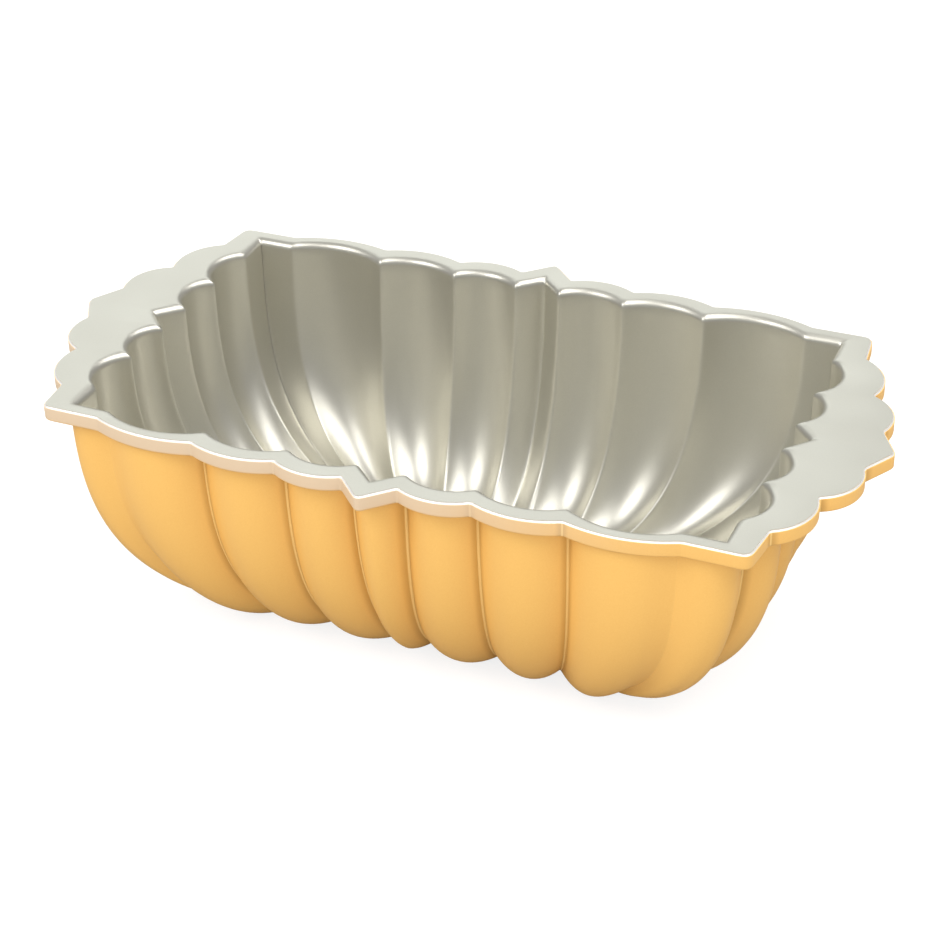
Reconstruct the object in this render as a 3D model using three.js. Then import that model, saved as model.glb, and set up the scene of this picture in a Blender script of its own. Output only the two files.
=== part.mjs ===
// A fluted loaf pan: one aluminium casting with a silver non-stick lining and a gold outer coat.
// Millimetres, +Z up, X along the pan, the origin in the middle of the base.
import * as THREE from "three";

// Cavity outline of a long side at the rim, from the pointed rib in its middle to the corner
const RIB_HALF_WIDTH = 7.4;
const SIDE_RIB_BULGE = 6.9;
const SMALL_FLUTE_WIDTH = 21.3;
const SMALL_FLUTE_BULGE = 4.0;
const MIDDLE_FLUTE_WIDTH = 26.4;
const MIDDLE_FLUTE_BULGE = 4.2;
const BIG_FLUTE_WIDTH = 32.1;
const BIG_FLUTE_BULGE = 4.9;
const SIDE_CORNER_WIDTH = 11.6;

// Cavity outline of an end at the rim, from its pointed rib to the corner
const END_RIB_BULGE = 6.8;
const END_INNER_FLUTE_WIDTH = 18.6;
const END_OUTER_FLUTE_WIDTH = 20.4;
const END_FLUTE_BULGE = 5.4;
const END_CORNER_WIDTH = 11.2;

// Wall curve: a superellipse from the upright rim down to where it would level out under the floor
const CAVITY_DEPTH = 71.8;
const LEVEL_BELOW_FLOOR = 1.0;
const SIDE_CURVE_FOOT = 16.7;
const SIDE_CURVE_POWER = 2.2;
const END_CURVE_FOOT = 4.0;
const END_CURVE_POWER = 3.4;
const CREASE_GATHER = 0.47;
const FLUTE_FADE_POWER = 30;
const CORNER_SWELL = 2.5;
const CORNER_SWELL_POWER = 4;

// Metal, and the two coats on it
const WALL = 3.6;
const FLOOR = 4.0;
const RIB_ROUND = 3.5;
const CORNER_ROUND = 5.0;
const RIM_THICKNESS = 4.5;
const RIM_FILLET = 2.2;
const RIM_CHAMFER = 0.6;
const RIM_CORNER_ROUND = 3.0;
const LINING = 0.2;
const COAT = 0.2;

// Rim edge: how far it stands outside the cavity's crease lines, and how far along it lies from the crease
const SIDE_RIB_REACH = 17.2;
const SIDE_REACH_AT_RIB = 8.6;
const SIDE_REACH_AT_SMALL_FLUTE = 7.9;
const SIDE_REACH_AT_MIDDLE_FLUTE = 7.6;
const CORNER_REACH = 5.5;
const SIDE_RIM_BULGE = 3.1;
const SIDE_RIM_SHIFT = 1.1;

// Handles: the rim runs out to a point at each end, in two scallops a side
const HANDLE_REACH = 30.7;
const HANDLE_REACH_AT_RIB = 24.7;
const HANDLE_REACH_AT_SCALLOP = 17.1;
const HANDLE_REACH_AT_CORNER = 9.6;
const CORNER_TIP_REACH = 8.2;
const HANDLE_SCALLOP_BULGE = 4.2;
const HANDLE_SHIFT = 3.3;

// Facets
const RIB_TIP_SHARE = 0.3;
const SMALL_FLUTE_STEPS = 4;
const BIG_FLUTE_STEPS = 5;
const WALL_STEPS = 7;
const FILLET_STEPS = 2;
const SOLVE_STEPS = 40;
const ROW_CROWDING = 1.7;
const MITRE_LIMIT = 1.5;

const HALF_LENGTH =
  RIB_HALF_WIDTH + SMALL_FLUTE_WIDTH + MIDDLE_FLUTE_WIDTH + BIG_FLUTE_WIDTH + SIDE_CORNER_WIDTH;
const HALF_WIDTH = RIB_HALF_WIDTH + END_INNER_FLUTE_WIDTH + END_OUTER_FLUTE_WIDTH + END_CORNER_WIDTH;
const CURVE_DEPTH = CAVITY_DEPTH + LEVEL_BELOW_FLOOR;
const RIM_LEVEL = FLOOR + CAVITY_DEPTH;

// Height of a round arc above its chord, at share u of the chord
function arcRise(u, chord, rise) {
  const radius = (chord * chord / 4 + rise * rise) / (2 * rise);
  const across = (u - 0.5) * chord;
  return Math.sqrt(radius * radius - across * across) - (radius - rise);
}

// One stretch of a side between two creases. Points are (along the side, out from the crease line).
function stretch(width, shares, cavityRise, rimEnd, rimBulge) {
  return { width, shares, cavityRise, rimEnd, rimBulge };
}

function evenShares(steps) {
  return Array.from({ length: steps }, (_, k) => k / steps);
}

function rib(bulge, rimEnd) {
  return stretch(RIB_HALF_WIDTH, [0, RIB_TIP_SHARE], (u) => bulge * (1 - u), rimEnd, 0);
}

function flute(width, bulge, steps, rimEnd, rimBulge) {
  return stretch(width, evenShares(steps), (u) => arcRise(u, width, bulge), rimEnd, rimBulge);
}

// Columns of a side from the rib in its middle up to the last crease before the corner
function sideColumns(stretches, rimStart) {
  const columns = [];
  let along = 0;
  let from = rimStart;
  for (const { width, shares, cavityRise, rimEnd, rimBulge } of stretches) {
    const to = new THREE.Vector2(along + width + rimEnd.shift, rimEnd.reach);
    const chord = to.clone().sub(from);
    const outward = new THREE.Vector2(-chord.y, chord.x).normalize();
    for (const u of shares) {
      const rim = from.clone().addScaledVector(chord, u);
      if (rimBulge > 0) rim.addScaledVector(outward, arcRise(u, chord.length(), rimBulge));
      columns.push({ along: along + u * width, rise: cavityRise(u), rim });
    }
    along += width;
    from = to;
  }
  columns[0].round = RIB_ROUND;
  columns.push({ along, rise: 0, rim: from });
  return columns;
}

// The column where a corner's round starts, on either side of it
function cornerColumn(halfSide, tipReach, reach) {
  return {
    along: halfSide + WALL - CORNER_ROUND,
    rise: 0,
    rim: new THREE.Vector2(halfSide + tipReach - RIM_CORNER_ROUND, reach),
    swell: CORNER_SWELL,
  };
}

const longSide = sideColumns(
  [
    rib(SIDE_RIB_BULGE, { reach: SIDE_REACH_AT_RIB, shift: SIDE_RIM_SHIFT }),
    flute(SMALL_FLUTE_WIDTH, SMALL_FLUTE_BULGE, SMALL_FLUTE_STEPS,
      { reach: SIDE_REACH_AT_SMALL_FLUTE, shift: SIDE_RIM_SHIFT }, SIDE_RIM_BULGE),
    flute(MIDDLE_FLUTE_WIDTH, MIDDLE_FLUTE_BULGE, SMALL_FLUTE_STEPS,
      { reach: SIDE_REACH_AT_MIDDLE_FLUTE, shift: SIDE_RIM_SHIFT }, SIDE_RIM_BULGE),
    flute(BIG_FLUTE_WIDTH, BIG_FLUTE_BULGE, BIG_FLUTE_STEPS,
      { reach: CORNER_REACH, shift: SIDE_RIM_SHIFT }, SIDE_RIM_BULGE),
  ],
  new THREE.Vector2(0, SIDE_RIB_REACH),
);
longSide.push(cornerColumn(HALF_LENGTH, CORNER_TIP_REACH, CORNER_REACH));

const end = sideColumns(
  [
    rib(END_RIB_BULGE, { reach: HANDLE_REACH_AT_RIB, shift: HANDLE_SHIFT }),
    flute(END_INNER_FLUTE_WIDTH, END_FLUTE_BULGE, SMALL_FLUTE_STEPS,
      { reach: HANDLE_REACH_AT_SCALLOP, shift: HANDLE_SHIFT }, HANDLE_SCALLOP_BULGE),
    flute(END_OUTER_FLUTE_WIDTH, END_FLUTE_BULGE, SMALL_FLUTE_STEPS,
      { reach: HANDLE_REACH_AT_CORNER, shift: HANDLE_SHIFT }, HANDLE_SCALLOP_BULGE),
  ],
  new THREE.Vector2(0, HANDLE_REACH),
);
end.push(cornerColumn(HALF_WIDTH, CORNER_REACH, CORNER_TIP_REACH));

// One quarter of the outline, clockwise from above. Each column has a point of the cavity and one of the
// rim, the walls that it faces, its rise above their crease line and the round of its outside.
function quarterColumns() {
  const onSide = longSide.map(({ along, rise, rim, round = 0, swell = 0 }) => ({
    cavity: new THREE.Vector2(along, HALF_WIDTH + rise),
    facing: new THREE.Vector2(0, 1),
    rise,
    rim: new THREE.Vector2(rim.x, HALF_WIDTH + rim.y),
    round,
    swell,
  }));
  const onEnd = end.map(({ along, rise, rim, round = 0, swell = 0 }) => ({
    cavity: new THREE.Vector2(HALF_LENGTH + rise, along),
    facing: new THREE.Vector2(1, 0),
    rise,
    rim: new THREE.Vector2(HALF_LENGTH + rim.y, rim.x),
    round,
    swell,
  }));
  const rimPull = RIM_CORNER_ROUND * (1 - Math.SQRT1_2);
  const corner = {
    cavity: new THREE.Vector2(HALF_LENGTH, HALF_WIDTH),
    facing: new THREE.Vector2(1, 1),
    rise: 0,
    rim: new THREE.Vector2(HALF_LENGTH + CORNER_TIP_REACH - rimPull, HALF_WIDTH + CORNER_REACH - rimPull),
    round: CORNER_ROUND,
    swell: CORNER_SWELL,
  };
  return [...onSide, corner, ...onEnd.reverse()];
}

function mirrored(columns, sx, sy) {
  const flip = new THREE.Vector2(sx, sy);
  return columns.map((column) => ({
    ...column,
    cavity: column.cavity.clone().multiply(flip),
    facing: column.facing.clone().multiply(flip),
    rim: column.rim.clone().multiply(flip),
  }));
}

// All columns round the pan, without repeating the ribs where two quarters meet
function allColumns() {
  const quarter = quarterColumns();
  const back = mirrored(quarter, 1, -1).reverse().slice(1);
  const across = mirrored(quarter, -1, -1).slice(1);
  const home = mirrored(quarter, -1, 1).reverse().slice(1, -1);
  return [...quarter, ...back, ...across, ...home];
}

// Vectors that move an outline outward by one unit, longer at its corners so that its edges stay parallel
function mitres(outline) {
  const count = outline.length;
  const normals = outline.map((p, j) => {
    const edge = outline[(j + 1) % count].clone().sub(p).normalize();
    return new THREE.Vector2(-edge.y, edge.x);
  });
  return normals.map((after, j) => {
    const before = normals[(j + count - 1) % count];
    const mitre = before.clone().add(after).divideScalar(1 + before.dot(after));
    return mitre.clampLength(0, MITRE_LIMIT);
  });
}

const columns = allColumns();
const cavityMitres = mitres(columns.map((c) => c.cavity));
const rimMitres = mitres(columns.map((c) => c.rim));

// Cavity outline moved out by a distance, with the outside of the ribs and corners rounded
function cavityOffset(j, distance) {
  const mitre = cavityMitres[j];
  const pull = distance > RIM_FILLET ? columns[j].round + distance - WALL : 0;
  const spare = mitre.length() - 1;
  return columns[j].cavity.clone()
    .addScaledVector(mitre, distance)
    .addScaledVector(mitre.clone().normalize(), columns[j].round > 0 ? -pull * spare : 0);
}

function level(points, depth) {
  return points.map((p) => new THREE.Vector3(p.x, p.y, RIM_LEVEL - depth));
}

function cavityRing(distance, depth) {
  return level(columns.map((_, j) => cavityOffset(j, distance)), depth);
}

function rimRing(distance, depth) {
  return level(columns.map((c, j) => c.rim.clone().addScaledVector(rimMitres[j], distance)), depth);
}

// The wall curve at share s of its depth: how far in it has come, and which way it faces
function wallCurve(s, half, foot, power) {
  const inward = Math.pow(1 - Math.pow(s, power), 1 / power);
  const facing = new THREE.Vector2(
    Math.pow(inward, power - 1) / (half - foot),
    Math.pow(s, power - 1) / CURVE_DEPTH,
  ).normalize();
  return { shrink: (foot + (half - foot) * inward) / half, out: facing.x, down: facing.y };
}

// A point of the outline carried down the wall that its column faces, to share s of the curve's depth
function carryDown(point, { facing, rise, swell }, s) {
  const side = wallCurve(s, HALF_WIDTH, SIDE_CURVE_FOOT, SIDE_CURVE_POWER);
  const butt = wallCurve(s, HALF_LENGTH, END_CURVE_FOOT, END_CURVE_POWER);
  const base = new THREE.Vector2(
    facing.x === 0 ? point.x : facing.x * HALF_LENGTH,
    facing.y === 0 ? point.y : facing.y * HALF_WIDTH,
  );
  const fade = rise * Math.pow(s, FLUTE_FADE_POWER);
  const swollen = swell * Math.pow(s, CORNER_SWELL_POWER);
  const off = point.clone().sub(base).addScaledVector(facing, swollen - fade);
  const gather = Math.pow(Math.abs(base.x) / HALF_LENGTH, CREASE_GATHER);
  const drop = Math.hypot(off.x * butt.down, off.y * side.down) * Math.sign(off.dot(facing));
  return new THREE.Vector3(
    base.x * (1 - (1 - butt.shrink) * gather) + off.x * butt.out,
    base.y * side.shrink + off.y * side.out,
    RIM_LEVEL - s * CURVE_DEPTH - drop,
  );
}

// Share of the curve's depth at which a column reaches a given depth
function shareAtDepth(point, column, depth) {
  let low = 0;
  let high = 1;
  for (let k = 0; k < SOLVE_STEPS; k++) {
    const middle = (low + high) / 2;
    if (RIM_LEVEL - carryDown(point, column, middle).z < depth) low = middle;
    else high = middle;
  }
  return low;
}

// Rings of a wall that lies a distance outside the cavity's face, between two levels, top first
function wallRings(distance, topDepth, bottomDepth) {
  const runs = columns.map((column, j) => {
    const point = cavityOffset(j, distance);
    const top = shareAtDepth(point, column, topDepth);
    const bottom = shareAtDepth(point, column, bottomDepth);
    return { point, column, top, bottom };
  });
  return Array.from({ length: WALL_STEPS + 1 }, (_, k) => {
    const share = 1 - Math.pow(1 - k / WALL_STEPS, ROW_CROWDING);
    return runs.map(({ point, column, top, bottom }) =>
      carryDown(point, column, top + (bottom - top) * share));
  });
}

// Rings of the round between the cavity and the top of the rim, for a face that lies a skin inside it
function filletRings(skin) {
  return Array.from({ length: FILLET_STEPS }, (_, k) => {
    const angle = (k + 1) / FILLET_STEPS * Math.PI / 2;
    const radius = RIM_FILLET + skin;
    return cavityRing(RIM_FILLET - radius * Math.cos(angle), RIM_FILLET - radius * Math.sin(angle));
  });
}

// The inside of the pan from the floor's edge to the rim's edge
function insideRings(skin) {
  return [
    ...wallRings(-skin, RIM_FILLET, CAVITY_DEPTH - skin).reverse(),
    ...filletRings(skin),
    rimRing(-RIM_CHAMFER, -skin),
  ];
}

// The outside of the pan from the rim's edge to the base's edge
function outsideRings(skin) {
  return [
    rimRing(skin, RIM_CHAMFER),
    rimRing(skin, RIM_THICKNESS + skin),
    ...wallRings(WALL + skin, RIM_THICKNESS + skin, CAVITY_DEPTH + FLOOR),
  ];
}

// Faces between two rings, which start at the given corners
function band(corners, from, to, count) {
  return Array.from({ length: count }, (_, j) => {
    const next = (j + 1) % count;
    const [a, b, c, d] = [from + j, from + next, to + next, to + j];
    const shorter = corners[a].distanceTo(corners[c]) < corners[b].distanceTo(corners[d]);
    return shorter ? [a, b, c, a, c, d] : [a, b, d, b, c, d];
  }).flat();
}

function geometryOf(corners, indices) {
  const geometry = new THREE.BufferGeometry().setFromPoints(corners);
  geometry.setIndex(indices);
  geometry.computeVertexNormals();
  return geometry;
}

// A closed body from rings that follow one another, with a flat fan over the first and the last ring
function cappedBody(rings) {
  const count = rings[0].length;
  const corners = rings.flat();
  const last = corners.length - count;
  const indices = rings.slice(1).flatMap((_, k) => band(corners, k * count, (k + 1) * count, count));
  const firstMiddle = corners.push(new THREE.Vector3(0, 0, rings[0][0].z)) - 1;
  const lastMiddle = corners.push(new THREE.Vector3(0, 0, rings.at(-1)[0].z)) - 1;
  for (let j = 0; j < count; j++) {
    const next = (j + 1) % count;
    indices.push(firstMiddle, next, j);
    indices.push(lastMiddle, last + j, last + next);
  }
  return geometryOf(corners, indices);
}

// A closed body from rings that follow one another and come back to the first one
function loopedBody(rings) {
  const count = rings[0].length;
  const corners = rings.flat();
  return geometryOf(
    corners,
    rings.flatMap((_, k) => band(corners, k * count, ((k + 1) % rings.length) * count, count)),
  );
}

const castInside = insideRings(0);
const castOutside = outsideRings(0);

const aluminium = new THREE.MeshStandardMaterial({ color: 0xe6e4de, roughness: 0.35, metalness: 1 });
const silver = new THREE.MeshStandardMaterial({ color: 0xc8c4b4, roughness: 0.4, metalness: 0.8 });
const gold = new THREE.MeshStandardMaterial({ color: 0xf0bc62, roughness: 0.55, metalness: 0.35 });

function named(name, geometry, material) {
  const mesh = new THREE.Mesh(geometry, material);
  mesh.name = name;
  return mesh;
}

const pan = new THREE.Group();
pan.add(
  named("cast_body", cappedBody([...castInside, ...castOutside]), aluminium),
  named("nonstick_lining", cappedBody([...insideRings(LINING), ...castInside.toReversed()]), silver),
  named("gold_coat", loopedBody([...outsideRings(COAT), ...castOutside.toReversed()]), gold),
);

export default pan;
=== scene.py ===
"""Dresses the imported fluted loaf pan: its aluminium casting, silver non-stick lining and gold coat.

Run as a script, it registers its panel and operators, makes each piece in turn and sets the stage.
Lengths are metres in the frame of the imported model: X along the pan, Z up, the base at zero.
"""

import math
from typing import NamedTuple

import bmesh
import bpy
from bpy.props import FloatProperty, FloatVectorProperty, IntProperty, PointerProperty
from mathutils import Matrix, Vector


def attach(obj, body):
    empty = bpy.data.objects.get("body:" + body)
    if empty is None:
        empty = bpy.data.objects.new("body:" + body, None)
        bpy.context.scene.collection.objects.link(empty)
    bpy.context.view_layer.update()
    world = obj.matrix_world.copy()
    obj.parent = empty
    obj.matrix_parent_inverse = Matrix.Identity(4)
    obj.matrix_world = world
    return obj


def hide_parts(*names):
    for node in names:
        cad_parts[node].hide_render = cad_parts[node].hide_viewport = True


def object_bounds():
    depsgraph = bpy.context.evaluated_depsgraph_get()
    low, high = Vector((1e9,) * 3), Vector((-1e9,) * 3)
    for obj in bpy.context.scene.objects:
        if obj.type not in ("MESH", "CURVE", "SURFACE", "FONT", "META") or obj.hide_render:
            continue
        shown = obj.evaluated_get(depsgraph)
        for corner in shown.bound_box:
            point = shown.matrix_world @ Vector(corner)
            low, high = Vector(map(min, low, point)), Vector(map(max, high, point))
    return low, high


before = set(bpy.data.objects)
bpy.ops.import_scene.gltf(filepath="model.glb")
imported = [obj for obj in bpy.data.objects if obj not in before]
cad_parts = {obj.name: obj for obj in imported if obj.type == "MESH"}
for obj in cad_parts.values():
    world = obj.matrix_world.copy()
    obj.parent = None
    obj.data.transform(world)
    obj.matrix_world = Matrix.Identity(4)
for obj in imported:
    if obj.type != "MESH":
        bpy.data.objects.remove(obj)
CAD_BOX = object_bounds()

bl_info = {
    "name": "Fluted loaf pan",
    "version": (1, 0, 0),
    "blender": (4, 5, 0),
    "location": "View3D > Sidebar > Loaf pan",
    "description": "Makes a cast loaf pan with fluted walls, a scalloped rim and two coats",
    "category": "Add Mesh",
}

MM = 0.001

# Meshes: the outline inside the edge of a flat face, the gap at which two points are one, the angle up to
# which faces are shaded smooth, and the halvings that find where a column reaches a depth.
CAP_SHARE = 0.97
SAME_POINT = 1e-7
SMOOTH_ANGLE = math.radians(35)
DEPTH_HALVINGS = 36

# The coats, in metres: the height of their grain, how far from a crease its painted bead highlight and its
# painted shade run out, the heights between which the rim's edge begins, and where along the pan the
# overspray and painted sheen on that edge thin out.
GRAIN_HEIGHT = 0.0001
BEAD_HIGHLIGHT_RUN = (0.00015, 0.00045)
PAINTED_SHADE_RUN = (0.0003, 0.0022)
RIM_EDGE_START = (0.0708, 0.0722)
OVERSPRAY_AND_SHEEN_RUN = (0.0, 0.095)

SENSOR_WIDTH = 36


# Settings


def length(name, description, millimetres):
    """A length setting, given in millimetres."""
    return FloatProperty(
        name=name, description=description, default=millimetres * MM, min=0, precision=5, unit="LENGTH"
    )


def number(name, description, default, **limits):
    """A plain number setting."""
    return FloatProperty(name=name, description=description, default=default, precision=3, **limits)


def count(name, description, default):
    """A whole number setting."""
    return IntProperty(name=name, description=description, default=default, min=1)


def colour(name, description, default):
    """A colour setting, in linear light."""
    return FloatVectorProperty(
        name=name, description=description, default=default, size=3, min=0, max=1, subtype="COLOR"
    )


class PanOutline(bpy.types.PropertyGroup):
    """The cavity's outline at the rim, from the rib in the middle of each side to the corner"""

    rib_half_width: length("Rib half width", "From a pointed rib's middle to its crease", 7.4)
    side_rib_bulge: length("Side rib bulge", "How far a long side's rib stands out of the crease line", 6.9)
    small_flute_width: length("Small flute width", "Width of the flute beside a long side's rib", 21.3)
    small_flute_bulge: length("Small flute bulge", "How far that flute stands out", 4.0)
    middle_flute_width: length("Middle flute width", "Width of a long side's second flute", 26.4)
    middle_flute_bulge: length("Middle flute bulge", "How far that flute stands out", 4.2)
    big_flute_width: length("Big flute width", "Width of a long side's last flute", 32.1)
    big_flute_bulge: length("Big flute bulge", "How far that flute stands out", 4.9)
    side_corner_width: length("Side corner width", "From a long side's last crease to the corner", 11.6)
    end_rib_bulge: length("End rib bulge", "How far an end's rib stands out of the crease line", 6.8)
    end_inner_flute_width: length("End inner flute width", "Width of the flute beside an end's rib", 18.6)
    end_outer_flute_width: length("End outer flute width", "Width of an end's last flute", 20.4)
    end_flute_bulge: length("End flute bulge", "How far an end's flutes stand out", 5.4)
    end_corner_width: length("End corner width", "From an end's last crease to the corner", 11.2)


class PanWall(bpy.types.PropertyGroup):
    """The walls' curve down to the floor, and their thickness and rounds"""

    cavity_depth: length("Cavity depth", "From the top of the casting's rim to its floor", 71.8)
    level_below_floor: length("Level below floor", "How far under the floor the curve would level out", 1.0)
    side_curve_foot: length("Side curve foot", "Half width at which a side's curve levels out", 16.7)
    side_curve_power: number("Side curve power", "Fullness of a long side's curve", 2.2)
    end_curve_foot: length("End curve foot", "Half length at which an end's curve levels out", 17.0)
    end_curve_power: number("End curve power", "Fullness of an end's curve", 2.95)
    crease_gather: number("Crease gather", "How early along a side the ridges lean in", 0.6)
    outer_side_foot: length("Outer side foot", "Half width at which a side's outside levels out", 9.0)
    outer_side_power: number("Outer side power", "Fullness of a long side's outside", 2.9)
    outer_gather: number("Outer gather", "How early along a side the outer creases lean in", 1.1)
    end_hold: number("End hold", "How long the ends' outer creases stay in line with the ridges", 4)
    flute_fade_power: number("Flute fade power", "How late the flutes flatten towards the floor", 30)
    corner_swell: length("Corner swell", "How far the corners fill out low down", 4.2)
    rib_sink: length("Rib sink", "How far the ribs sink in low down", 2.9)
    swell_power: number("Swell power", "How late the corners fill out and the ribs sink in", 3)
    side_crease_cut: length("Side crease cut", "How far a side's outer creases cut into the wall", 2.6)
    end_crease_cut: length("End crease cut", "How far an end's outer creases cut into the wall", 3.0)
    crease_spread: length("Crease spread", "How far the outer creases lie past the inner ridges", 0.7)
    bead_height: length("Bead height", "Height of the fine bead right in a sharp outer crease", 0.6)
    bead_reach: length("Bead reach", "Half the width of that bead", 0.4)
    rib_narrowing: length("Rib narrowing", "How much half a side's rib narrows on its way down", 2.6)
    corner_narrowing: length("Corner narrowing", "How far an end's last crease leans to the corner", 5.0)
    soft_crease_cut: length("Soft crease cut", "How far a side's last outer crease cuts into the wall", 1.5)
    soft_crease_inset: length("Soft crease inset", "How far that crease lies short of its ridge", 0.7)
    soft_crease_round: length("Soft crease round", "Reach of the round in a side's last outer crease", 6.0)
    rib_crest: length("Rib crest", "Metal on the crest of a rib, whose outside is a round lobe", 2.0)
    rib_hold: number("Rib hold", "Share of a rib's outer rounding that is left at the base", 0.6)
    trim_fade_power: number("Trim fade power", "How late the outer creases run out towards the base", 8)
    wall: length("Wall", "Thickness of the casting's walls", 3.6)
    floor: length("Floor", "Thickness of the casting's floor", 4.0)
    ridge_round: length("Ridge round", "Reach of the round on a crease's inner ridge", 1.1)
    crease_round: length("Crease round", "Reach of the round in a crease's outer valley", 0.25)
    groove_round: length("Groove round", "Reach of the round in the ribs' and corners' inner grooves", 0.9)
    corner_round: length("Corner round", "Reach of the round on a corner's outside", 11.0)


class PanRim(bpy.types.PropertyGroup):
    """The rim and its two handles"""

    thickness: length("Thickness", "Thickness of the rim's casting", 4.5)
    fillet: length("Fillet", "Radius between the cavity and the top of the rim", 2.2)
    chamfer: length("Chamfer", "Width of the bare edge round the top of the rim", 0.4)
    under_fillet: length("Under fillet", "Radius between the rim's underside and the wall", 0.8)
    edge_round: length("Edge round", "Radius of the rim's lower edge", 0.7)
    lining: length("Lining", "Thickness of the non-stick lining", 0.2)
    coat: length("Coat", "Thickness of the gold coat", 0.2)
    side_rib_reach: length("Side rib reach", "Reach of the rim's point at a side's rib", 17.2)
    reach_at_rib: length("Reach at rib", "Reach of the rim at the crease beside the rib", 8.6)
    reach_at_small_flute: length("Reach at small flute", "Reach of the rim past the small flute", 7.9)
    reach_at_middle_flute: length("Reach at middle flute", "Reach of the rim past the middle flute", 7.6)
    corner_reach: length("Corner reach", "Reach of the rim's corner off the long side", 5.5)
    side_bulge: length("Side bulge", "Bulge of the rim's scallops on the long sides", 3.1)
    side_shift: length("Side shift", "How far a side's rim notches lie past the creases", 1.1)
    handle_reach: length("Handle reach", "Reach of a handle's point", 30.7)
    handle_reach_at_rib: length("Handle reach at rib", "Reach of a handle at its first notch", 24.7)
    handle_reach_at_scallop: length("Handle reach at scallop", "Reach at its second notch", 17.1)
    handle_reach_at_corner: length("Handle reach at corner", "Reach at its last notch", 9.6)
    corner_tip_reach: length("Corner tip reach", "Reach of the rim's corner off the end", 8.2)
    handle_bulge: length("Handle bulge", "Bulge of the handles' scallops", 4.2)
    handle_shift: length("Handle shift", "How far a handle's notches lie past the creases", 3.3)
    notch_round: length("Notch round", "Reach of the round in the rim's notches", 0.9)
    tip_round: length("Tip round", "Reach of the round on the rim's points", 2.0)
    corner_tip_round: length("Corner tip round", "Reach of the round on the rim's corners", 3.0)


class PanMesh(bpy.types.PropertyGroup):
    """Fineness of the meshes"""

    rib_steps: count("Rib steps", "Faces across half a rib", 10)
    small_steps: count("Small flute steps", "Faces across a small flute", 22)
    big_steps: count("Big flute steps", "Faces across a big flute", 28)
    corner_steps: count("Corner steps", "Faces from the last crease to the corner", 14)
    wall_rows: count("Wall rows", "Rows of faces down a visible wall", 44)
    hidden_rows: count("Hidden rows", "Rows of faces down a wall under a coat", 22)
    round_rows: count("Round rows", "Rows of faces over a small round", 5)
    row_crowding: number("Row crowding", "How much the rows crowd towards the floor", 1.7)


class PanFinish(bpy.types.PropertyGroup):
    """Colours of the metal and its coats"""

    silver: colour("Silver", "Non-stick lining", (0.71, 0.69, 0.61))
    silver_shade: colour("Silver shade", "Darker flecks of the lining", (0.645, 0.625, 0.55))
    gold: colour("Gold", "Outer coat", (0.90, 0.535, 0.15))
    gold_shade: colour("Gold shade", "Darker flecks of the outer coat", (0.85, 0.48, 0.12))
    # Painted shade: the outer coat drawn darker beside the creases, where shade falls.
    painted_crease_shade: colour("Gold crease", "Outer coat down beside the creases", (0.56, 0.31, 0.07))
    # Painted highlight: a paler line of the coat on the crease's bead, where it catches the light.
    painted_bead_highlight: colour("Gold bead", "Thin bead of the outer coat in the creases", (0.95, 0.64, 0.23))
    # Partly real overspray, partly painted sheen: the rim's edge is paler towards the pan's -X end, where the
    # light falls on it.
    overspray_and_sheen: colour("Overspray", "Rim's gold edge under drift from the lining's spray", (0.72, 0.565, 0.40))
    metal: colour("Bare metal", "Aluminium at the rim's edge and the base", (0.86, 0.85, 0.83))
    silver_roughness: number("Silver roughness", "Roughness of the lining", 0.38, min=0, max=1)
    gold_roughness: number("Gold roughness", "Roughness of the gold coat", 0.45, min=0, max=1)
    metal_roughness: number("Metal roughness", "Roughness of the bare metal", 0.5, min=0, max=1)
    grain: length("Grain", "Size of the coats' grain", 0.5)


class PanStage(bpy.types.PropertyGroup):
    """The floor, lamps and camera"""

    floor_size: number("Floor size", "Side of the floor", 8.0, unit="LENGTH")
    floor_colour: colour("Floor colour", "Pale floor", (0.31, 0.29, 0.27))
    floor_glow: number("Floor glow", "How far the camera sees the floor lifted to white", 0.8)
    room_light: number("Room light", "Even light from all round", 1.1)
    room_shine: number("Room shine", "Brightness of the room in reflections", 0.25)
    azimuth: number("Azimuth", "Direction of the camera", math.radians(23.965), subtype="ANGLE")
    elevation: number("Elevation", "Height angle of the camera", math.radians(31.881), subtype="ANGLE")
    roll: number("Roll", "Lean of the camera", math.radians(-1.427), subtype="ANGLE")
    distance: number("Distance", "From the camera to the middle of the rim", 0.64675, unit="LENGTH")
    aim_right: number("Aim right", "Rim's middle, right of the view's centre", -0.001527, unit="LENGTH")
    aim_up: number("Aim up", "Rim's middle, above the view's centre", 0.029364, unit="LENGTH")
    lens: number("Lens", "Focal length in millimetres on a sensor of 36", 83.614)


class LoafPan(bpy.types.PropertyGroup):
    """All settings of the pan"""

    outline: PointerProperty(type=PanOutline)
    wall: PointerProperty(type=PanWall)
    rim: PointerProperty(type=PanRim)
    mesh: PointerProperty(type=PanMesh)
    finish: PointerProperty(type=PanFinish)
    stage: PointerProperty(type=PanStage)


# The pan's outline


class Stretch(NamedTuple):
    """A stretch of a side between two creases, or from the last crease to the corner."""

    kind: str
    width: float
    bulge: float
    steps: int
    rim_end: Vector
    rim_bulge: float


class Column(NamedTuple):
    """One column of the walls, in the pan's first quarter before it is mirrored."""

    wall: str
    stretch: int
    u: float
    rise: float
    swell: Vector
    trim: Vector
    drift: float
    hold: float
    corner: str
    crease: float
    mirror: Vector


def arc_rise(u, chord, rise):
    """Height of a round arc above its chord, at share u of the chord."""
    radius = (chord * chord / 4 + rise * rise) / (2 * rise)
    return math.sqrt(radius * radius - ((u - 0.5) * chord) ** 2) - (radius - rise)


def crowded(k, steps):
    """Share of a stretch at step k, with the steps crowding towards both creases."""
    return 0.5 - 0.5 * math.cos(math.pi * k / steps)


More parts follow.
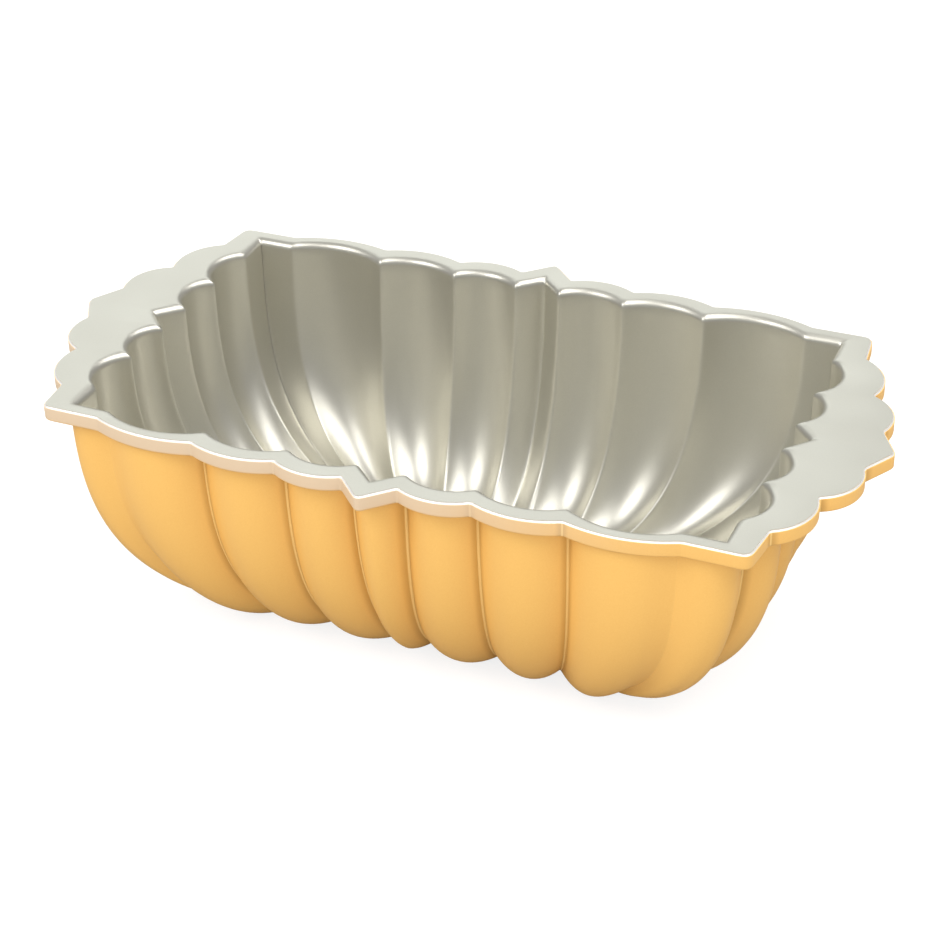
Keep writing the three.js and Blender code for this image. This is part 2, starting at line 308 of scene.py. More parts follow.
def long_side(pan):
    """Stretches of half a long side, from its rib to the corner. Rim points are (along, out)."""
    o, r, m = pan.outline, pan.rim, pan.mesh
    bulge = r.side_bulge
    corner = o.side_corner_width, r.corner_tip_reach, r.corner_reach, m.corner_steps
    rows = [
        ("rib", o.rib_half_width, o.side_rib_bulge, m.rib_steps, r.reach_at_rib, 0),
        ("flute", o.small_flute_width, o.small_flute_bulge, m.small_steps, r.reach_at_small_flute, bulge),
        ("flute", o.middle_flute_width, o.middle_flute_bulge, m.small_steps, r.reach_at_middle_flute, bulge),
        ("flute", o.big_flute_width, o.big_flute_bulge, m.big_steps, r.corner_reach, bulge),
    ]
    return stretches(rows, r.side_shift, *corner)


def short_end(pan):
    """Stretches of half an end, from its rib to the corner."""
    o, r, m = pan.outline, pan.rim, pan.mesh
    inner, outer = o.end_inner_flute_width, o.end_outer_flute_width
    corner = o.end_corner_width, r.corner_reach, r.corner_tip_reach, m.corner_steps
    rows = [
        ("rib", o.rib_half_width, o.end_rib_bulge, m.rib_steps, r.handle_reach_at_rib, 0),
        ("flute", inner, o.end_flute_bulge, m.small_steps, r.handle_reach_at_scallop, r.handle_bulge),
        ("flute", outer, o.end_flute_bulge, m.small_steps, r.handle_reach_at_corner, r.handle_bulge),
    ]
    return stretches(rows, r.handle_shift, *corner)


def stretches(rows, shift, corner_width, tip, reach, corner_steps):
    """Stretches from their rows of sizes, with the straight one to the corner put last."""
    side = []
    along = 0
    for kind, width, bulge, steps, rim_reach, rim_bulge in rows:
        along += width
        side.append(Stretch(kind, width, bulge, steps, Vector((along + shift, rim_reach)), rim_bulge))
    corner = Vector((along + corner_width + tip, reach))
    side.append(Stretch("straight", corner_width, 0, corner_steps, corner, 0))
    return side


def half_side(side):
    """Length of half a side, from its rib to the corner."""
    return sum(stretch.width for stretch in side)


def crease_out(stretch, distance):
    """How far out a stretch's face lies at its crease once it is moved out by a distance."""
    if stretch.kind == "flute":
        half = stretch.width / 2
        radius = (half * half + stretch.bulge**2) / (2 * stretch.bulge)
        return math.sqrt((radius + distance) ** 2 - half * half) - (radius - stretch.bulge)
    return distance * math.hypot(stretch.width, stretch.bulge) / stretch.width


def face_point(side, index, u, distance):
    """(along, out) of the face that lies a distance outside the cavity, at share u of a stretch."""
    stretch = side[index]
    along = sum(s.width for s in side[:index])
    outs = [crease_out(s, distance) for s in side]
    start = (outs[index - 1] + outs[index]) / 2
    if stretch.kind == "straight":
        return Vector((along + u * (stretch.width + distance), start + (distance - start) * u))
    stop = (outs[index] + outs[index + 1]) / 2
    if stretch.kind == "rib":
        tip = stretch.bulge + outs[index]
        return Vector((along + u * stretch.width, tip + (stop - tip) * u))
    rise = stretch.bulge + distance - (start + stop) / 2
    return Vector((along + u * stretch.width, start + (stop - start) * u + arc_rise(u, stretch.width, rise)))


def rim_point(side, index, u, tip):
    """(along, out) of the rim's edge at share u of a stretch."""
    stretch = side[index]
    start = side[index - 1].rim_end if index else Vector((0, tip))
    chord = stretch.rim_end - start
    point = start + chord * u
    if stretch.rim_bulge:
        outward = Vector((-chord.y, chord.x)).normalized()
        point += outward * arc_rise(u, chord.length, stretch.rim_bulge)
    return point


def outer_trim(pan, side, index, u, creases):
    """How the outside differs from the cavity moved out by the wall, at share u of a stretch.

    The creases are (spread, cut, drift) from the first one beside the rib to the last one before the corner.
    Returns (along, out) at the rim and how far along the column drifts on its way down.
    """
    wall, stretch = pan.wall, side[index]
    ends = [(0, 0, 0), *creases, (0, 0, 0)]
    spread, cut, drift = (a + (b - a) * u for a, b in zip(ends[index], ends[index + 1]))
    crease_cut = creases[0][1]
    if stretch.kind == "straight":
        return Vector((spread, -cut * (1 - u))), drift
    sharp = face_point(side, index, u, wall.wall).y
    if stretch.kind == "rib":
        foot = face_point(side, index, 1, wall.wall).y - crease_cut
        lobe = foot + (stretch.bulge + wall.rib_crest - foot) * (1 - u * u)
        return Vector((spread, lobe - sharp)), drift
    return Vector((spread, -cut * (1 - arc_rise(u, stretch.width, stretch.bulge) / stretch.bulge))), drift


def low_swell(pan, stretch, u):
    """(along, out) by which the corners fill out and the ribs sink in low down."""
    if stretch.kind == "straight":
        return Vector((u * u, math.sin(u * math.pi / 2))) * pan.wall.corner_swell
    if stretch.kind == "rib":
        return Vector((0, u * u - 1)) * pan.wall.rib_sink
    return Vector((0, 0))


def side_columns(pan, side, wall, creases):
    """Columns of half a side, from its rib to the corner."""
    columns = []
    unmirrored = Vector((1, 1))
    soft = len(side) - 1 if wall == "side" else None
    for index, stretch in enumerate(side):
        last = stretch.kind == "straight"
        for k in range(stretch.steps + last):
            u = crowded(k, stretch.steps)
            swell = low_swell(pan, stretch, u)
            trim, drift = outer_trim(pan, side, index, u, creases)
            hold = pan.wall.rib_hold * (1 - u * u) if stretch.kind == "rib" else 0
            corner = ""
            if k == 0:
                corner = "soft" if index == soft else "crease" if index else "rib"
            elif k == stretch.steps:
                corner = "corner"
            rise = face_point(side, index, u, 0).y
            from_start = 1 if index in (0, soft) else u
            to_stop = 1 if last or index + 1 == soft else 1 - u
            crease = min(from_start, to_stop) * stretch.width
            trim.y += pan.wall.bead_height * max(1 - crease / pan.wall.bead_reach, 0)
            columns.append(Column(wall, index, u, rise, swell, trim, drift, hold, corner, crease, unmirrored))
    return columns


def mirrored(columns, across):
    """Columns on the other side of a middle plane."""
    return [column._replace(mirror=column.mirror * across) for column in columns]


def all_columns(pan):
    """Columns all the way round, clockwise from above, starting at a long side's rib."""
    wall = pan.wall
    sharp = (wall.crease_spread, wall.side_crease_cut, 0)
    beside_rib = (wall.crease_spread, wall.side_crease_cut, -wall.rib_narrowing)
    soft = (-wall.soft_crease_inset, wall.soft_crease_cut, 0)
    side = side_columns(pan, long_side(pan), "side", [beside_rib, sharp, sharp, soft])
    sharp = (wall.crease_spread, wall.end_crease_cut, 0)
    beside_corner = (0, wall.end_crease_cut, wall.corner_narrowing)
    end = side_columns(pan, short_end(pan), "end", [sharp, sharp, beside_corner])[:-1]
    end = [c._replace(swell=c.swell.yx, trim=c.trim.yx) for c in end]
    quarter = side + end[::-1]
    back = mirrored(quarter, Vector((1, -1)))[::-1][1:]
    far = mirrored(quarter, Vector((-1, -1)))[1:]
    home = mirrored(quarter, Vector((-1, 1)))[::-1][1:-1]
    return quarter + back + far + home


def placed(pan, column, along_out):
    """A point of a side, given as (along, out), in the pan's plan."""
    half_length, half_width = half_side(long_side(pan)), half_side(short_end(pan))
    if column.wall == "side":
        point = Vector((along_out.x, half_width + along_out.y))
    else:
        point = Vector((half_length + along_out.y, along_out.x))
    return point * column.mirror


def rounded(outline, reaches):
    """A closed outline with a round over each corner, which reaches that far along both edges."""
    total = len(outline)
    result = list(outline)
    for middle, reach in reaches.items():
        ends = []
        for step in (-1, 1):
            run, k = 0.0, 0
            while True:
                here = outline[(middle + step * k) % total]
                there = outline[(middle + step * (k + 1)) % total]
                gap = (there - here).length
                if run + gap >= reach:
                    ends.append((here.lerp(there, (reach - run) / gap), k))
                    break
                run += gap
                k += 1
        (before, back), (after, forward) = ends
        tip = outline[middle]
        travelled = [0.0]
        for k in range(-back, forward):
            a, b = outline[(middle + k) % total], outline[(middle + k + 1) % total]
            travelled.append(travelled[-1] + (b - a).length)
        lead = reach - travelled[back]
        for k in range(-back, forward + 1):
            v = (lead + travelled[k + back]) / (2 * reach)
            result[(middle + k) % total] = (
                before * (1 - v) ** 2 + tip * 2 * v * (1 - v) + after * v * v
            )
    return result


def outward(outline):
    """Unit vectors out of a closed outline that runs clockwise."""
    total = len(outline)
    result = []
    for k in range(total):
        along = outline[(k + 1) % total] - outline[k - 1]
        result.append(Vector((-along.y, along.x)).normalized())
    return result


class Shape:
    """The pan's surfaces, ring by ring."""

    def __init__(self, pan):
        self.pan = pan
        self.side, self.end = long_side(pan), short_end(pan)
        self.half_length, self.half_width = half_side(self.side), half_side(self.end)
        self.columns = all_columns(pan)
        self.rim_level = pan.wall.floor + pan.wall.cavity_depth
        self.curve_depth = pan.wall.cavity_depth + pan.wall.level_below_floor
        self.rim_outline = self.rim_edge()
        self.rim_outward = outward(self.rim_outline)

    def stretches_of(self, column):
        return self.side if column.wall == "side" else self.end

    def outer_share(self, distance):
        """0 on the inside, 1 on the outside of the wall."""
        fillet = self.pan.rim.fillet
        return min(max((distance - fillet) / (self.pan.wall.wall - fillet), 0), 1)

    def cavity_outline(self, distance):
        """The outline that lies a distance outside the cavity's, with its rounds."""
        wall = self.pan.wall
        outer = self.outer_share(distance)
        reach = {
            "crease": wall.ridge_round + (wall.crease_round - wall.ridge_round) * outer,
            "soft": wall.ridge_round + (wall.soft_crease_round - wall.ridge_round) * outer,
            "rib": wall.groove_round * (1 - outer),
            "corner": wall.groove_round + (wall.corner_round - wall.groove_round) * outer,
        }
        outline = [
            placed(self.pan, c, face_point(self.stretches_of(c), c.stretch, c.u, distance))
            for c in self.columns
        ]
        return self.with_rounds(outline, reach)

    def with_rounds(self, outline, reach):
        """An outline with its rounds, whose reach is given for each kind of corner."""
        reaches = {j: reach[c.corner] for j, c in enumerate(self.columns) if reach.get(c.corner)}
        return rounded(outline, reaches)

    def rim_edge(self):
        """The outline of the rim and handles, with its rounds."""
        rim = self.pan.rim
        reach = {
            "crease": rim.notch_round,
            "soft": rim.notch_round,
            "rib": rim.tip_round,
            "corner": rim.corner_tip_round,
        }
        tips = {"side": rim.side_rib_reach, "end": rim.handle_reach}
        outline = [
            placed(self.pan, c, rim_point(self.stretches_of(c), c.stretch, c.u, tips[c.wall]))
            for c in self.columns
        ]
        return self.with_rounds(outline, reach)

    def level_ring(self, outline, depth):
        """An outline laid flat at a depth under the top of the casting's rim."""
        return [Vector((p.x, p.y, self.rim_level - depth)) for p in outline]

    def cavity_ring(self, distance, depth):
        return self.level_ring(self.cavity_outline(distance), depth)

    def rim_ring(self, distance, depth):
        moved = [p + out * distance for p, out in zip(self.rim_outline, self.rim_outward)]
        return self.level_ring(moved, depth)

    def curve(self, share, half, foot, power):
        """A wall curve at a share of its depth: how far in it has come, and which way it faces."""
        inward = (1 - share**power) ** (1 / power)
        out, down = inward ** (power - 1) / (half - foot), share ** (power - 1) / self.curve_depth
        size = math.hypot(out, down)
        return (foot + (half - foot) * inward) / half, out / size, down / size

    def carried(self, point, column, share, outer):
        """A point of the outline carried down its wall to a share of the curve's depth."""
        wall = self.pan.wall
        foot = wall.side_curve_foot + (wall.outer_side_foot - wall.side_curve_foot) * outer
        power = wall.side_curve_power + (wall.outer_side_power - wall.side_curve_power) * outer
        side_in, side_out, side_down = self.curve(share, self.half_width, foot, power)
        end_curve = wall.end_curve_foot, wall.end_curve_power
        end_in, end_out, end_down = self.curve(share, self.half_length, *end_curve)
        x, y = abs(point.x), abs(point.y)
        base_x, base_y = self.half_length, self.half_width
        face_x, face_y = column.wall == "end", column.wall == "side"
        over_x, over_y = max(x - base_x, 0), max(y - base_y, 0)
        drift = column.drift * outer * share * share
        if column.corner == "corner":
            face_x = face_y = True
        elif column.wall == "side":
            base_x, over_y = min(x, base_x) + drift, y - base_y
        else:
            base_y, over_x = min(y, base_y) + drift, x - base_x
            held = self.curve(share, self.half_width, wall.side_curve_foot, wall.side_curve_power)[0]
            side_in = held + (side_in - held) * (base_y / self.half_width) ** wall.end_hold
        risen = column.rise + min(column.swell.x * face_x + column.swell.y * face_y, 0)
        fade = risen * share**wall.flute_fade_power
        swollen = column.swell * share**wall.swell_power
        trimmed = column.trim * (outer * (1 - (1 - column.hold) * share**wall.trim_fade_power))
        off_x = over_x + swollen.x + trimmed.x - fade * face_x
        off_y = over_y + swollen.y + trimmed.y - fade * face_y
        gather = (base_x / self.half_length) ** (
            wall.crease_gather + (wall.outer_gather - wall.crease_gather) * outer
        )
        drop = math.copysign(math.hypot(off_x * end_down, off_y * side_down), off_x * face_x + off_y * face_y)
        new_x = base_x * (1 - (1 - end_in) * gather) + off_x * end_out
        new_y = base_y * side_in + off_y * side_out
        return Vector((
            math.copysign(new_x, column.mirror.x) if x else 0,
            math.copysign(new_y, column.mirror.y) if y else 0,
            self.rim_level - share * self.curve_depth - drop,
        ))

    def share_at(self, point, column, depth, outer):
        """Share of the curve's depth at which a column reaches a depth."""
        low, high = 0.0, 1.0
        for _ in range(DEPTH_HALVINGS):
            middle = (low + high) / 2
            if self.rim_level - self.carried(point, column, middle, outer).z < depth:
                low = middle
            else:
                high = middle
        return low

    def wall_rings(self, distance, top, bottom, rows):
        """Rings of the wall that lies a distance outside the cavity, between two depths, top first."""
        outer = self.outer_share(distance)
        runs = [
            (point, column, *(self.share_at(point, column, depth, outer) for depth in (top, bottom)))
            for point, column in zip(self.cavity_outline(distance), self.columns)
        ]
        rings = []
        for k in range(rows + 1):
            down = 1 - (1 - k / rows) ** self.pan.mesh.row_crowding
            rings.append([
                self.carried(point, column, start + (stop - start) * down, outer)
                for point, column, start, stop in runs
            ])
        return rings

    def inside(self, skin, rows):
        """Rings of the inside face and the rim's top, for a skin that lies on the casting, floor first."""
        rim, wall = self.pan.rim, self.pan.wall
        rings = self.wall_rings(-skin, rim.fillet, wall.cavity_depth - skin, rows)[::-1]
        radius = rim.fillet + skin
        steps = self.pan.mesh.round_rows
        for k in range(1, steps + 1):
            angle = k / steps * math.pi / 2
            rings.append(
                self.cavity_ring(rim.fillet - radius * math.cos(angle), rim.fillet - radius * math.sin(angle))
            )
        rings.append(self.rim_ring(-rim.chamfer, -skin))
        return rings

    def outside(self, skin, rows):
        """Rings of the rim's edge, its underside and the outside, for a skin on the casting, rim first."""
        rim, wall = self.pan.rim, self.pan.wall
        under = rim.thickness + skin
        steps = self.pan.mesh.round_rows
        rings = [self.rim_ring(skin, rim.chamfer)]
        for k in range(steps + 1):
            angle = k / steps * math.pi / 2
            inset = rim.edge_round * (1 - math.cos(angle))
            rings.append(self.rim_ring(skin - inset, under - rim.edge_round * (1 - math.sin(angle))))
        walls = self.wall_rings(
            wall.wall + skin, under + rim.under_fillet, wall.cavity_depth + wall.floor, rows
        )
        away = outward([p.xy for p in walls[0]])
        for k in range(steps):
            angle = k / steps * math.pi / 2
            reach = rim.under_fillet * (1 - math.sin(angle))
            depth = under + rim.under_fillet * (1 - math.cos(angle))
            rings.append(self.level_ring([p.xy + out * reach for p, out in zip(walls[0], away)], depth))
        rings += walls
        return rings


# Modelling


def begin_ring(name, shape, ring):
    """A new object in edit mode: a circle whose points are set on a ring of the pan."""
    bpy.ops.object.select_all(action="DESELECT")
    bpy.ops.mesh.primitive_circle_add(vertices=len(ring), radius=shape.half_length)
    piece = bpy.context.object
    piece.name = piece.data.name = name
    bpy.ops.object.mode_set(mode="EDIT")
    mesh = bmesh.from_edit_mesh(piece.data)
    number_layer = mesh.verts.layers.int.new("column")
    crease_layer = mesh.verts.layers.float.new("crease_gap")
    for k, vert in enumerate(mesh.verts):
        vert[number_layer] = k
        vert[crease_layer] = shape.columns[k].crease
        vert.co = ring[k]
    bmesh.update_edit_mesh(piece.data)
    return piece


def pull_ring(piece, ring):
    """Extrudes the open ring that is selected, and sets the new ring's points."""
    bpy.ops.mesh.extrude_edges_move()
    mesh = bmesh.from_edit_mesh(piece.data)
    number_layer = mesh.verts.layers.int["column"]
    for vert in mesh.verts:
        if vert.select:
            vert.co = ring[vert[number_layer]]
    bmesh.update_edit_mesh(piece.data, loop_triangles=False)


def cap_flat():
    """Closes the selected ring with a narrow band and one flat face."""
    bpy.ops.mesh.extrude_edges_move()
    bpy.ops.transform.resize(value=(CAP_SHARE, CAP_SHARE, 1), center_override=(0, 0, 0))
    bpy.ops.mesh.edge_face_add()


def select_ring(piece, ring):
    """Selects only the points of a ring."""
    bpy.ops.mesh.select_all(action="DESELECT")
    mesh = bmesh.from_edit_mesh(piece.data)
    number_layer = mesh.verts.layers.int["column"]
    for vert in mesh.verts:
        vert.select = (vert.co - ring[vert[number_layer]]).length < SAME_POINT
    mesh.select_flush(True)
    bmesh.update_edit_mesh(piece.data)


def lofted(name, shape, rings, closed):
    """A closed piece from rings that follow one another: capped at both ends, or joined to the first."""
    piece = begin_ring(name, shape, rings[0])
    for ring in rings[1:]:
        pull_ring(piece, ring)
    if closed:
        pull_ring(piece, rings[0])
    else:
        cap_flat()
        select_ring(piece, rings[0])
        cap_flat()
    bpy.ops.mesh.select_all(action="SELECT")
    bpy.ops.mesh.remove_doubles(threshold=SAME_POINT)
    bpy.ops.mesh.normals_make_consistent(inside=False)
    bpy.ops.object.mode_set(mode="OBJECT")
    bpy.ops.object.shade_smooth_by_angle(angle=SMOOTH_ANGLE)
    return piece


def finished(piece, node, material):
    """Gives a piece its finish and its place in the frame."""
    piece.data.materials.clear()
    piece.data.materials.append(material)
    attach(piece, "root")
    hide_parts(node)


# Finishes


class Nodes:
    """A node tree that is filled from left to right."""

    def __init__(self, tree):
        self.tree = tree

    def add(self, kind, links=None, **values):
        """Adds a node, sets its properties and links or fills its inputs."""
        node = self.tree.nodes.new(kind)
        for name, value in values.items():
            setattr(node, name, value)
        for socket, source in (links or {}).items():
            target = node.inputs[socket]
            if isinstance(source, bpy.types.NodeSocket):
                self.tree.links.new(source, target)
            else:
                target.default_value = source
        return node


def rgba(value):
    """A colour with full alpha."""
    return (*value, 1)


def coat_grain():
    """Node group: the fine flecks and slow mottling of a sprayed coat."""
    tree = bpy.data.node_groups.get("Coat grain")
    if tree:
        return tree
    tree = bpy.data.node_groups.new("Coat grain", "ShaderNodeTree")
    for name, kind in (("Position", "NodeSocketVector"), ("Grain size", "NodeSocketFloat")):
        tree.interface.new_socket(name=name, in_out="INPUT", socket_type=kind)
    for name in ("Fleck", "Mottle", "Height"):
        tree.interface.new_socket(name=name, in_out="OUTPUT", socket_type="NodeSocketFloat")
    nodes = Nodes(tree)
    source = nodes.add("NodeGroupInput").outputs
    scale = nodes.add("ShaderNodeMath", {0: 1.0, 1: source["Grain size"]}, operation="DIVIDE").outputs[0]
    coarse = nodes.add("ShaderNodeMath", {0: scale, 1: 0.02}, operation="MULTIPLY").outputs[0]
    place = source["Position"]
    fleck = nodes.add(
        "ShaderNodeTexNoise", {"Vector": place, "Scale": scale, "Detail": 3.0, "Roughness": 0.65}
    ).outputs[0]
    mottle = nodes.add(
        "ShaderNodeTexNoise", {"Vector": place, "Scale": coarse, "Detail": 2.0, "Roughness": 0.5}
    ).outputs[0]
    sink = nodes.add("NodeGroupOutput").inputs
    for noise, name in ((fleck, "Fleck"), (mottle, "Mottle")):
        spread = nodes.add(
            "ShaderNodeMapRange", {"Value": noise, "From Min": 0.3, "From Max": 0.7}, clamp=True
        )
        tree.links.new(spread.outputs[0], sink[name])
    tree.links.new(fleck, sink["Height"])
    return tree


def new_material(name):
    """A material with an empty node tree."""
    material = bpy.data.materials.new(name)
    material.use_nodes = True
    material.node_tree.nodes.clear()
    return material, Nodes(material.node_tree)


def grain_of(nodes, size):
    """The coat's grain on the piece's own coordinates."""
    place = nodes.add("ShaderNodeTexCoord").outputs["Object"]
    grain = nodes.add("ShaderNodeGroup", {"Position": place, "Grain size": size}, node_tree=coat_grain())
    return grain.outputs


def shader(nodes, links):
    """The Principled shader, joined to the material's output."""
    principled = nodes.add("ShaderNodeBsdfPrincipled", links)
    nodes.add("ShaderNodeOutputMaterial", {"Surface": principled.outputs[0]})


def mixed(nodes, share, first, second):
    """A colour between two, by a share."""
    return nodes.add("ShaderNodeMix", {0: share, 6: first, 7: second}, data_type="RGBA").outputs[2]


def scaled(nodes, value, low, high):
    """A share from 0 to 1 spread between two values."""
    return nodes.add("ShaderNodeMapRange", {"Value": value, "To Min": low, "To Max": high}).outputs[0]


def around(nodes, value, middle, swing):
    """A value that swings about a middle as a share goes from 0 to 1."""
    return scaled(nodes, value, middle - swing, middle + swing)


def ramp(nodes, value, start, stop, low, high):
    """A value that goes smoothly from low to high as another goes from start to stop."""
    return nodes.add(
        "ShaderNodeMapRange",
        {"Value": value, "From Min": start, "From Max": stop, "To Min": low, "To Max": high},
        interpolation_type="SMOOTHSTEP",
    ).outputs[0]


def bumped(nodes, height, strength):
    """A normal that follows the coat's grain."""
    bump = nodes.add("ShaderNodeBump", {"Height": height, "Strength": strength, "Distance": GRAIN_HEIGHT})
    return bump.outputs[0]


def satin_silver(finish):
    """The lining: a satin metallic non-stick coat."""
    material, nodes = new_material("satin_silver")
    grain = grain_of(nodes, finish.grain)
    tone = scaled(nodes, grain["Fleck"], 0.0, 0.35)
    shader(nodes, {
        "Base Color": mixed(nodes, tone, rgba(finish.silver), rgba(finish.silver_shade)),
        "Metallic": 0.9,
        "Roughness": around(nodes, grain["Mottle"], finish.silver_roughness, 0.03),
        "Normal": bumped(nodes, grain["Height"], 0.06),
    })
    return material


def satin_gold(finish):
    """The outer coat: a satin gold paint, with painted shade and a painted bead highlight at the creases, and
    overspray with painted sheen on the rim's edge.
    """
    material, nodes = new_material("satin_gold")
    grain = grain_of(nodes, finish.grain)
    tone = scaled(nodes, grain["Fleck"], 0.0, 0.5)
    paint = mixed(nodes, tone, rgba(finish.gold), rgba(finish.gold_shade))
    gap = nodes.add("ShaderNodeAttribute", attribute_name="crease_gap").outputs["Fac"]
    # Painted shade: the coat darkens towards the creases, where shade falls in them.
    painted_shade = ramp(nodes, gap, *PAINTED_SHADE_RUN, 0.7, 0.0)
    # Painted highlight: a paler line on the bead in the crease, where it catches the light.
    bead = ramp(nodes, gap, *BEAD_HIGHLIGHT_RUN, 0.9, 0.0)
    place = nodes.add("ShaderNodeSeparateXYZ", {0: nodes.add("ShaderNodeTexCoord").outputs["Object"]}).outputs
    # Partly real overspray, partly painted sheen on the rim's edge: paler towards the pan's -X end, where the
    # light falls on it.
    on_edge = ramp(nodes, place["Z"], *RIM_EDGE_START, 0.0, 1.0)
    along = ramp(nodes, place["X"], *OVERSPRAY_AND_SHEEN_RUN, 0.95, 0.05)
    drift = nodes.add("ShaderNodeMath", {0: on_edge, 1: along}, operation="MULTIPLY").outputs[0]
    # The paint with painted shade beside the creases, then a painted highlight on their bead.
    paint_with_painted_crease_light = mixed(nodes, painted_shade, paint, rgba(finish.painted_crease_shade))
    paint_with_painted_crease_light = mixed(nodes, bead, paint_with_painted_crease_light, rgba(finish.painted_bead_highlight))
    shader(nodes, {
        "Base Color": mixed(nodes, drift, paint_with_painted_crease_light, rgba(finish.overspray_and_sheen)),
        "Metallic": 0.1,
        "Roughness": around(nodes, grain["Mottle"], finish.gold_roughness, 0.04),
        "Normal": bumped(nodes, grain["Height"], 0.08),
    })
    return material


def bare_aluminium(finish):
    """The casting: bright bare metal, finely turned at the rim's edge."""
    material, nodes = new_material("bare_aluminium")
    grain = grain_of(nodes, finish.grain)
    shader(nodes, {
        "Base Color": rgba(finish.metal),
        "Metallic": 0.6,
        "Roughness": around(nodes, grain["Fleck"], finish.metal_roughness, 0.06),
        "Normal": bumped(nodes, grain["Height"], 0.1),
    })
    return material


# Operators


class LOAFPAN_OT_cast_body(bpy.types.Operator):
    """Models the aluminium casting under both coats"""

    bl_idname = "loafpan.cast_body"
    bl_label = "Cast body"
    bl_options = {"REGISTER", "UNDO"}

    def execute(self, context):
        pan = context.scene.loaf_pan
        shape = Shape(pan)
        rows = pan.mesh.hidden_rows
        rings = shape.inside(0, rows) + shape.outside(0, rows)
        piece = lofted("cast_aluminium", shape, rings, closed=False)
        finished(piece, "cast_body", bare_aluminium(pan.finish))
        return {"FINISHED"}


class LOAFPAN_OT_nonstick_lining(bpy.types.Operator):
    """Models the silver lining of the cavity and the rim's top"""

    bl_idname = "loafpan.nonstick_lining"
    bl_label = "Non-stick lining"
    bl_options = {"REGISTER", "UNDO"}

    def execute(self, context):
        pan = context.scene.loaf_pan
        shape = Shape(pan)
        rings = shape.inside(pan.rim.lining, pan.mesh.wall_rows)
        rings += shape.inside(0, pan.mesh.hidden_rows)[::-1]
        piece = lofted("silver_lining", shape, rings, closed=False)
        finished(piece, "nonstick_lining", satin_silver(pan.finish))
        return {"FINISHED"}


class LOAFPAN_OT_gold_coat(bpy.types.Operator):
    """Models the gold coat of the rim's edge, its underside and the outside walls"""

    bl_idname = "loafpan.gold_coat"
    bl_label = "Gold coat"
    bl_options = {"REGISTER", "UNDO"}

    def execute(self, context):
        pan = context.scene.loaf_pan
        shape = Shape(pan)
        rings = shape.outside(pan.rim.coat, pan.mesh.wall_rows)
        rings += shape.outside(0, pan.mesh.hidden_rows)[::-1]
        piece = lofted("gold_outside", shape, rings, closed=True)
        finished(piece, "gold_coat", satin_gold(pan.finish))
        return {"FINISHED"}


def studio_floor(stage):
    """The pale floor. The camera sees it white, and it keeps the pan's shadow."""
    material, nodes = new_material("studio_floor")
    diffuse = nodes.add("ShaderNodeBsdfDiffuse", {"Color": rgba(stage.floor_colour)})
    glow = nodes.add("ShaderNodeEmission", {"Color": (0.965, 0.985, 1, 1), "Strength": stage.floor_glow})
    seen = nodes.add("ShaderNodeLightPath").outputs["Is Camera Ray"]
    off = nodes.add("ShaderNodeEmission", {"Strength": 0.0})
    lift = nodes.add("ShaderNodeMixShader", {0: seen, 1: off.outputs[0], 2: glow.outputs[0]})
    both = nodes.add("ShaderNodeAddShader", {0: diffuse.outputs[0], 1: lift.outputs[0]})
    nodes.add("ShaderNodeOutputMaterial", {"Surface": both.outputs[0]})
    return material


class Softbox(NamedTuple):
    """A large flat lamp that faces a point."""

    name: str
    place: tuple
    aim: tuple
    size: tuple
    power: float
    tint: tuple = (1, 1, 1)
    in_reflections: bool = True


BACK_TINT = (0.95, 1.0, 1.0)
SOFTBOXES = (
    Softbox("top_softbox", (0.6, 0.0, 1.6), aim=(0, 0, 0), size=(2.0, 1.2), power=20),
    Softbox("key_softbox", (-0.9, -1.1, 1.5), aim=(0, 0, 0.03), size=(1.0, 1.0), power=13),
    Softbox("back_softbox", (-1.4, 2.0, 1.5), aim=(0, 0, 0), size=(2.8, 1.6), power=13.5, tint=BACK_TINT),
    Softbox(
        "front_softbox", (0.4, -1.9, 0.9), aim=(0, 0, 0.03), size=(1.8, 1.0), power=10, in_reflections=False
    ),
)


def hang(softbox):
    """Adds a soft lamp to the stage."""
    bpy.ops.object.light_add(type="AREA", location=softbox.place)
    lamp = bpy.context.object
    lamp.name = lamp.data.name = softbox.name
    lamp.rotation_euler = (Vector(softbox.aim) - Vector(softbox.place)).to_track_quat("-Z", "Y").to_euler()
    lamp.data.shape = "RECTANGLE"
    lamp.data.size, lamp.data.size_y = softbox.size
    lamp.data.energy = softbox.power
    lamp.data.color = softbox.tint
    lamp.visible_glossy = softbox.in_reflections


def white_world(stage):
    """Even white light from all round: plain white to the camera, a dimmer room to reflections."""
    world = bpy.data.worlds.new("studio")
    bpy.context.scene.world = world
    world.use_nodes = True
    world.node_tree.nodes.clear()
    nodes = Nodes(world.node_tree)
    path = nodes.add("ShaderNodeLightPath").outputs
    lit = scaled(nodes, path["Is Glossy Ray"], stage.room_light, stage.room_shine)
    strength = nodes.add("ShaderNodeMath", {0: lit, 1: path["Is Camera Ray"]}, operation="MAXIMUM").outputs[0]
    light = nodes.add("ShaderNodeBackground", {"Color": (1, 1, 1, 1), "Strength": strength})
    nodes.add("ShaderNodeOutputWorld", {"Surface": light.outputs[0]})


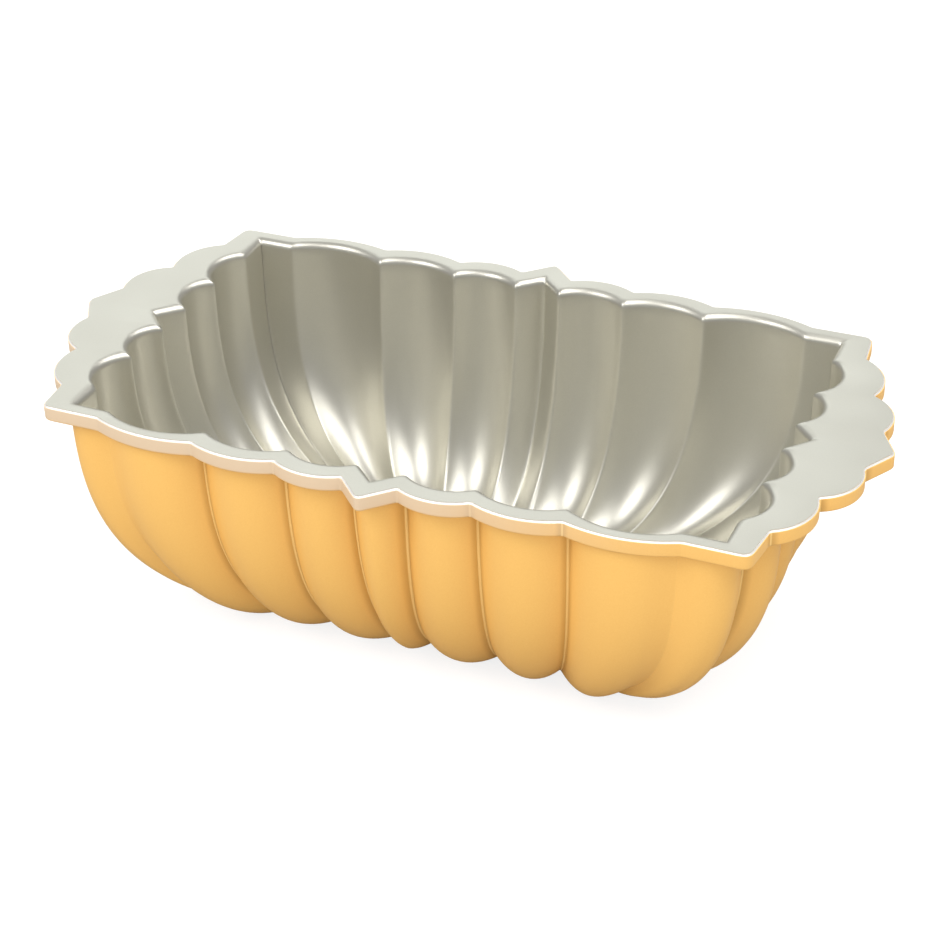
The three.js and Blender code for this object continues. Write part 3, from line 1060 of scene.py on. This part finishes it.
class LOAFPAN_OT_stage(bpy.types.Operator):
    """Sets the floor, the soft lamps and the camera"""

    bl_idname = "loafpan.stage"
    bl_label = "Stage"
    bl_options = {"REGISTER", "UNDO"}

    def execute(self, context):
        stage = context.scene.loaf_pan.stage
        bpy.ops.object.select_all(action="DESELECT")
        bpy.ops.mesh.primitive_plane_add(size=stage.floor_size)
        floor = bpy.context.object
        floor.name = "floor"
        floor.data.materials.append(studio_floor(stage))
        white_world(stage)
        for softbox in SOFTBOXES:
            hang(softbox)
        self.place_camera(context, stage)
        return {"FINISHED"}

    def place_camera(self, context, stage):
        """A camera at the photograph's angle, aimed at the middle of the rim's top."""
        a, e = stage.azimuth, stage.elevation
        back = Vector((math.sin(a) * math.cos(e), -math.cos(a) * math.cos(e), math.sin(e)))
        right = Vector((math.cos(a), math.sin(a), 0))
        turn = Matrix((right, back.cross(right), back))
        turn = Matrix.Rotation(-stage.roll, 3, "Z") @ turn
        rim_middle = Vector((0, 0, CAD_BOX[1][2]))
        shift = Vector((stage.aim_right, stage.aim_up, -stage.distance))
        bpy.ops.object.camera_add()
        camera = context.object
        camera.name = "photo_camera"
        camera.data.lens = stage.lens
        camera.data.sensor_width = SENSOR_WIDTH
        stand = rim_middle - turn.transposed() @ shift
        camera.matrix_world = Matrix.Translation(stand) @ turn.transposed().to_4x4()
        context.scene.camera = camera
        context.scene.view_settings.view_transform = "Standard"


class LOAFPAN_PT_pan(bpy.types.Panel):
    """Lists the pan's settings and steps"""

    bl_idname = "LOAFPAN_PT_pan"
    bl_label = "Fluted loaf pan"
    bl_space_type = "VIEW_3D"
    bl_region_type = "UI"
    bl_category = "Loaf pan"

    def draw(self, context):
        for step in STEPS:
            self.layout.operator(step.bl_idname)
        pan = context.scene.loaf_pan
        for group in (pan.outline, pan.wall, pan.rim, pan.mesh, pan.finish, pan.stage):
            box = self.layout.box()
            for name in group.__annotations__:
                box.prop(group, name)


STEPS = (LOAFPAN_OT_cast_body, LOAFPAN_OT_nonstick_lining, LOAFPAN_OT_gold_coat, LOAFPAN_OT_stage)
SETTINGS = (PanOutline, PanWall, PanRim, PanMesh, PanFinish, PanStage, LoafPan)


def register():
    for item in (*SETTINGS, *STEPS, LOAFPAN_PT_pan):
        bpy.utils.register_class(item)
    bpy.types.Scene.loaf_pan = PointerProperty(type=LoafPan)


def unregister():
    del bpy.types.Scene.loaf_pan
    for item in reversed((*SETTINGS, *STEPS, LOAFPAN_PT_pan)):
        bpy.utils.unregister_class(item)


def main():
    """Makes the pan and its stage."""
    register()
    bpy.ops.loafpan.cast_body()
    bpy.ops.loafpan.nonstick_lining()
    bpy.ops.loafpan.gold_coat()
    bpy.ops.loafpan.stage()


if __name__ == "__main__":
    main()
